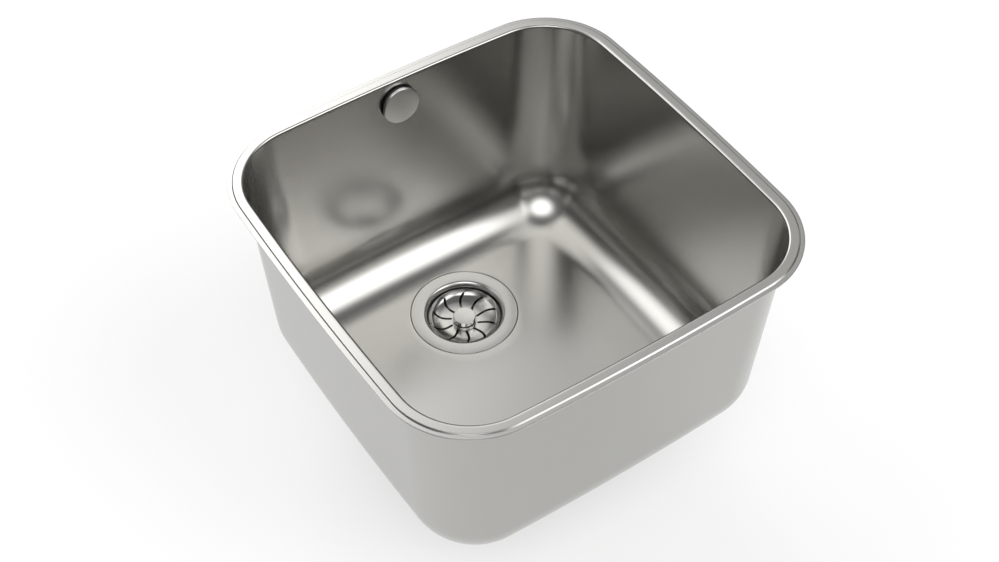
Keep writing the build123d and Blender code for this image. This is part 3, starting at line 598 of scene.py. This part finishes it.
def addStrainer(p):
    addTurned("strainerCup", p["cup"], "strainer_cup", "sink", drainPlace, segments=192, steps=8)
    addTurned("strainerHub", p["hub"], "strainer_cup", "sink", drainPlace)
    for k in range(p["spokes"]):
        addSpoke("strainerSpoke" + str(k), p, p["firstSpoke"] + k * 360 / p["spokes"])


addStrainer(strainer)
print("strainer cup made")


# Basket dish: a shell whose columns follow the ten curved slots. Heights fall from the edge to the flat
# middle along a smooth curve through the profile's points.
dish = {"hole": 4.15, "flat": 13.0, "edge": 38.2, "edgeHeight": -6.8, "hollow": 8.2, "thick": 0.9,
        "profile": [(0.0, 0.0), (0.10, 0.40), (0.32, 0.72), (0.62, 0.93), (1.0, 1.0)],
        "slots": 10, "slotWidth": 2.6, "slotInner": 15.3, "slotOuter": 34.5, "firstSlot": 24.2,
        "innerLead": 4.5, "middleLead": 7.8, "webColumns": 20, "slotEndSteps": 7, "innerRows": 12,
        "slotRows": 30, "outerRows": 7, "steepest": 2.0, "edgeSlope": 1.25,
        "roll": [(38.5, -6.84), (38.75, -6.98), (38.9, -7.3)],
        "rollUnder": [(38.3, -8.0), (38.65, -7.9), (38.9, -7.6)]}


# Smooth curve through the profile's points: cubic pieces whose slopes are the mean of their neighbours'.
def dishHeight(p, radius):
    share = np.array([q[0] for q in p["profile"]])
    fall = np.array([q[1] for q in p["profile"]])
    steps = np.diff(fall) / np.diff(share)
    slopes = np.concatenate([[steps[0] * p["edgeSlope"]], (steps[:-1] + steps[1:]) / 2, [0.0]])
    here = np.clip((p["edge"] - radius) / (p["edge"] - p["flat"]), 0, 1)
    k = np.clip(np.searchsorted(share, here, side="right") - 1, 0, len(share) - 2)
    gap = share[k + 1] - share[k]
    t = (here - share[k]) / gap
    value = ((2 * t ** 3 - 3 * t ** 2 + 1) * fall[k] + (t ** 3 - 2 * t ** 2 + t) * gap * slopes[k]
             + (3 * t ** 2 - 2 * t ** 3) * fall[k + 1] + (t ** 3 - t ** 2) * gap * slopes[k + 1])
    return p["edgeHeight"] - p["hollow"] * value


# Upper side of the dish: radii by angles, with the columns of each web between two slots spread evenly.
# A slot's middle runs ahead by a quadratic curve of its radius. Its half width there is sqrt(h2 - d2), with
# d how far the radius lies beyond the middle of the slot's round end, and grows with the curve's slant.
def addDish(p):
    half = p["slotWidth"] / 2
    low, high = p["slotInner"] - half, p["slotOuter"] + half
    ends = half * (1 - np.cos(np.linspace(0, math.pi / 2, p["slotEndSteps"])))
    radii = np.concatenate([np.linspace(p["hole"], low, p["innerRows"])[:-1], low + ends,
                            np.linspace(low + half, high - half, p["slotRows"])[1:-1], (high - ends)[::-1],
                            np.linspace(high, p["edge"], p["outerRows"])[1:]])
    along = np.maximum((radii - p["slotInner"]) / (p["slotOuter"] - p["slotInner"]), 0)
    lead = p["innerLead"] * (1 - along) * (1 - 2 * along) + p["middleLead"] * 4 * along * (1 - along)
    lead = np.radians(lead)
    slope = np.clip(np.gradient(lead, radii) * radii, -p["steepest"], p["steepest"])
    beyond = np.maximum(p["slotInner"] - radii, 0) + np.maximum(radii - p["slotOuter"], 0)
    width = np.sqrt(np.clip(half ** 2 - beyond ** 2, 0, None)) * np.sqrt(1 + slope ** 2) / radii
    sector = turn / p["slots"]
    shares = np.linspace(0, 1, p["webColumns"])
    middles = np.radians(p["firstSlot"]) + np.arange(p["slots"]) * sector
    webs = width[:, None, None] + (sector - 2 * width[:, None, None]) * shares
    angle = (middles[:, None] + lead[:, None, None] + webs).reshape(len(radii), -1)
    height = dishHeight(p, radii)[:, None] + 0 * angle
    upper = np.stack([radii[:, None] * np.cos(angle), radii[:, None] * np.sin(angle), height], -1)
    under = upper - np.array([0, 0, p["thick"]])
    last = angle[-1]
    rolled, rolledUnder = [np.stack([np.stack([r * np.cos(last), r * np.sin(last), z + 0 * last], -1)
                                     for r, z in p[key]]) for key in ("roll", "rollUnder")]
    upper = np.concatenate([upper, rolled])
    under = np.concatenate([under, rolledUnder])
    keep = np.ones((len(upper) - 1, angle.shape[1]), bool)
    first, final = [int(np.argmin(np.abs(radii - end))) for end in (low, high)]
    keep[first:final, p["webColumns"] - 1::p["webColumns"]] = False
    return addShell("basketDish", moved(upper * mm, drainPlace), moved(under * mm, drainPlace), keep,
                    "basket_dish", "basket", sharp=50)


addDish(dish)
print("dish made")


# Turned pieces of the basket and the cap, as corners (radius, height, rounding) in millimetres.
turnedPieces = {
    "knobCollar": {"node": "knob_collar", "body": "basket",
                   "outline": [(4.15, -15.0), (12.9, -15.0, 0.35), (12.9, -13.4, 0.45), (4.15, -13.4)]},
    "basketKnob": {"node": "basket_knob", "body": "basket",
                   "outline": [(0, -6.5), (12.0, -6.5, 0.7), (12.0, -11.5, 0.5), (9.0, -10.8, 0.5),
                               (9.0, -13.4), (4.1, -13.4), (4.1, -8.7), (0, -8.7)]},
    "basketStem": {"node": "basket_stem", "body": "basket",
                   "outline": [(0, -8.8), (4.0, -8.8, 0.3), (4.0, -28.3, 0.2), (2.9, -28.3), (2.9, -31.7),
                               (3.6, -31.7, 0.1), (3.1, -32.6, 0.2), (0, -32.6)]},
    "sealCarrier": {"node": "seal_carrier", "body": "basket",
                    "outline": [(4.15, -15.9), (7.5, -15.9, 0.3), (7.5, -24.1, 1.0), (27.0, -24.1, 2.0),
                                (27.0, -32.3, 0.4), (24.5, -32.3, 0.4), (24.5, -26.6, 0.8), (4.15, -26.6)]},
    "basketSeal": {"node": "basket_seal", "body": "basket",
                   "outline": [(27.1, -33.7), (33.4, -33.7, 0.5), (33.4, -32.4, 0.5), (29.7, -30.7, 0.8),
                               (29.1, -28.1, 0.8), (27.1, -28.1, 0.3)]},
    "stemRetainer": {"node": "stem_retainer", "body": "basket",
                     "outline": [(4.1, -28.0), (6.6, -28.0, 0.2), (6.6, -26.6, 0.2), (4.1, -26.6)]},
    "overflowCap": {"node": "overflow_cap", "body": "cap",
                    "outline": [(0, 6.5), (20.5, 6.5, 1.0), (20.5, 3.2, 0.2), (19.5, 3.2, 0.2),
                                (19.5, 5.5, 0.4), (0, 5.5)]}}
for pieceName, p in turnedPieces.items():
    place = overflowPlace if p["body"] == "cap" else drainPlace
    addTurned(pieceName, p["outline"], p["node"], p["body"], place, segments=128, steps=6)
print("turned pieces made")

# The other nodes keep their shapes, as smooth copies with their own materials.
copies = {
    "sink": ["damping_pad", "upper_gasket", "lower_gasket", "waste_body", "body_insert", "centre_screw",
             "overflow_bridge", "overflow_screw", "overflow_gasket", "overflow_elbow", "overflow_hose",
             "hose_seal_top", "hose_seal_inlet", "hose_nut_top", "hose_nut_inlet"],
    "basket": ["detent_clip"],
    "cap": ["cap_clip"]}
for body, nodes in copies.items():
    for nodeName in nodes:
        addSmoothCopy(nodeName, body)
print("copies made")


# Floor: pale, and lifted to white for the rays of the camera, of reflections and of transmission. It lies
# just under the object and keeps its shadow.
floorStage = {"albedo": 0.42, "lift": 0.56, "rough": 0.9, "half": 40.0, "gap": 0.0005}


def addFloor(p):
    material, tree, shader = newMaterial("paleFloor")
    shader.inputs["Base Color"].default_value = (p["albedo"], p["albedo"], p["albedo"], 1)
    shader.inputs["Roughness"].default_value = p["rough"]
    link = tree.links.new
    path = addNode(tree, "ShaderNodeLightPath")
    seen = addNode(tree, "ShaderNodeMath", operation="MAXIMUM")
    seenToo = addNode(tree, "ShaderNodeMath", operation="MAXIMUM")
    link(path.outputs["Is Camera Ray"], seen.inputs[0])
    link(path.outputs["Is Glossy Ray"], seen.inputs[1])
    link(seen.outputs["Value"], seenToo.inputs[0])
    link(path.outputs["Is Transmission Ray"], seenToo.inputs[1])
    lift = addNode(tree, "ShaderNodeMath", operation="MULTIPLY")
    link(seenToo.outputs["Value"], lift.inputs[0])
    lift.inputs[1].default_value = p["lift"]
    shader.inputs["Emission Color"].default_value = (1, 1, 1, 1)
    link(lift.outputs["Value"], shader.inputs["Emission Strength"])
    half, z = p["half"], cadBox[0].z - p["gap"]
    corners = [(-half, -half, z), (half, -half, z), (half, half, z), (-half, half, z)]
    mesh = bpy.data.meshes.new("stageFloor")
    mesh.from_pydata(corners, [], [(0, 1, 2, 3)])
    mesh.materials.append(material)
    floor = bpy.data.objects.new("stageFloor", mesh)
    scene.collection.objects.link(floor)


# Sky: a dim, even base with wide soft lights. Each has its azimuth from the rear towards the right, its
# elevation and its reach in degrees, and fades smoothly from its middle out to its reach.
sky = {"base": 0.2,
       "lights": {"rear": {"azimuth": 8, "elevation": 40, "reach": 24, "strength": 3.2},
                  "rearLeft": {"azimuth": -38, "elevation": 43, "reach": 24, "strength": 2.6},
                  "rearRight": {"azimuth": 46, "elevation": 52, "reach": 24, "strength": 0.6},
                  "frontRight": {"azimuth": 140, "elevation": 44, "reach": 30, "strength": 3.4},
                  "frontLeft": {"azimuth": 217, "elevation": 61, "reach": 25, "strength": 3.4}}}


def addSky(p):
    world = bpy.data.worlds.new("studio")
    world.use_nodes = True
    tree = world.node_tree
    link = tree.links.new
    coordinate = addNode(tree, "ShaderNodeTexCoord")
    total = None
    for light in p["lights"].values():
        a, e = math.radians(light["azimuth"]), math.radians(light["elevation"])
        facing = addNode(tree, "ShaderNodeVectorMath", operation="DOT_PRODUCT")
        facing.inputs[1].default_value = (math.sin(a) * math.cos(e), math.cos(a) * math.cos(e), math.sin(e))
        link(coordinate.outputs["Generated"], facing.inputs[0])
        fade = addNode(tree, "ShaderNodeMapRange", interpolation_type="SMOOTHSTEP")
        fade.inputs["From Min"].default_value = math.cos(math.radians(light["reach"]))
        fade.inputs["To Max"].default_value = light["strength"]
        link(facing.outputs["Value"], fade.inputs["Value"])
        add = addNode(tree, "ShaderNodeMath", operation="ADD")
        add.inputs[0].default_value = p["base"]
        if total:
            link(total, add.inputs[0])
        link(fade.outputs["Result"], add.inputs[1])
        total = add.outputs["Value"]
    link(total, tree.nodes["Background"].inputs["Strength"])
    tree.nodes["Background"].inputs["Color"].default_value = (1, 1, 1, 1)
    scene.world = world


addFloor(floorStage)
addSky(sky)
scene.view_settings.view_transform = "Standard"
print("stage and light made")
